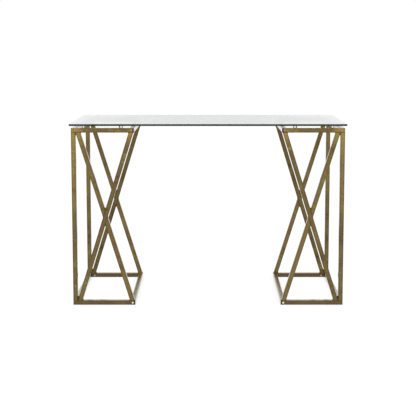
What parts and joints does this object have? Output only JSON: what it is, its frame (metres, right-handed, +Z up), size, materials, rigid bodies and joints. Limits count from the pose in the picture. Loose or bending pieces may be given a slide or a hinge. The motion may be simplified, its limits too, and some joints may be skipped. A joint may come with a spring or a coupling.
{
  "type": "glass-topped dressing table",
  "caption": "Rectangular glass top resting on clear pads over open pedestals of bronze-finished square steel tube, braced by crossed diagonals, with an open knee space between them.",
  "frame": {"origin": "on the floor, under the middle of the table", "axes": "+X along the table to the right pedestal, +Y from the front to the back, +Z up"},
  "size_m": [1.146, 0.508, 0.762],
  "materials": {
    "bronze_steel": "satin antique bronze finish on steel tube, brushed and slightly uneven",
    "clear_glass": "clear float glass with a green edge, polished and bevelled",
    "clear_pad": "clear moulded plastic"
  },
  "bodies": {
    "pedestals": {"left_front_bottom_rail": "bronze_steel", "left_back_bottom_rail": "bronze_steel", "left_outer_bottom_rail": "bronze_steel", "left_inner_bottom_rail": "bronze_steel", "left_front_top_rail": "bronze_steel", "left_back_top_rail": "bronze_steel", "left_outer_top_rail": "bronze_steel", "left_inner_top_rail": "bronze_steel", "right_front_bottom_rail": "bronze_steel", "right_back_bottom_rail": "bronze_steel", "right_outer_bottom_rail": "bronze_steel", "right_inner_bottom_rail": "bronze_steel", "right_front_top_rail": "bronze_steel", "right_back_top_rail": "bronze_steel", "right_outer_top_rail": "bronze_steel", "right_inner_top_rail": "bronze_steel", "left_front_post": "bronze_steel", "left_front_long_brace": "bronze_steel", "left_front_upper_half_brace": "bronze_steel", "left_front_lower_half_brace": "bronze_steel", "left_back_post": "bronze_steel", "left_back_long_brace": "bronze_steel", "left_back_upper_half_brace": "bronze_steel", "left_back_lower_half_brace": "bronze_steel", "right_front_post": "bronze_steel", "right_front_long_brace": "bronze_steel", "right_front_upper_half_brace": "bronze_steel", "right_front_lower_half_brace": "bronze_steel", "right_back_post": "bronze_steel", "right_back_long_brace": "bronze_steel", "right_back_upper_half_brace": "bronze_steel", "right_back_lower_half_brace": "bronze_steel", "left_front_outer_pad": "clear_pad", "left_front_inner_pad": "clear_pad", "left_back_outer_pad": "clear_pad", "left_back_inner_pad": "clear_pad", "right_front_outer_pad": "clear_pad", "right_front_inner_pad": "clear_pad", "right_back_outer_pad": "clear_pad", "right_back_inner_pad": "clear_pad"},
    "glass_plate": {"glass_top": "clear_glass"}
  },
  "joints": [
    {"name": "glass_lift", "type": "slide", "parent": "pedestals", "child": "glass_plate", "axis": [0, 0, 1], "range_m": [0, 0.12]}
  ]
}
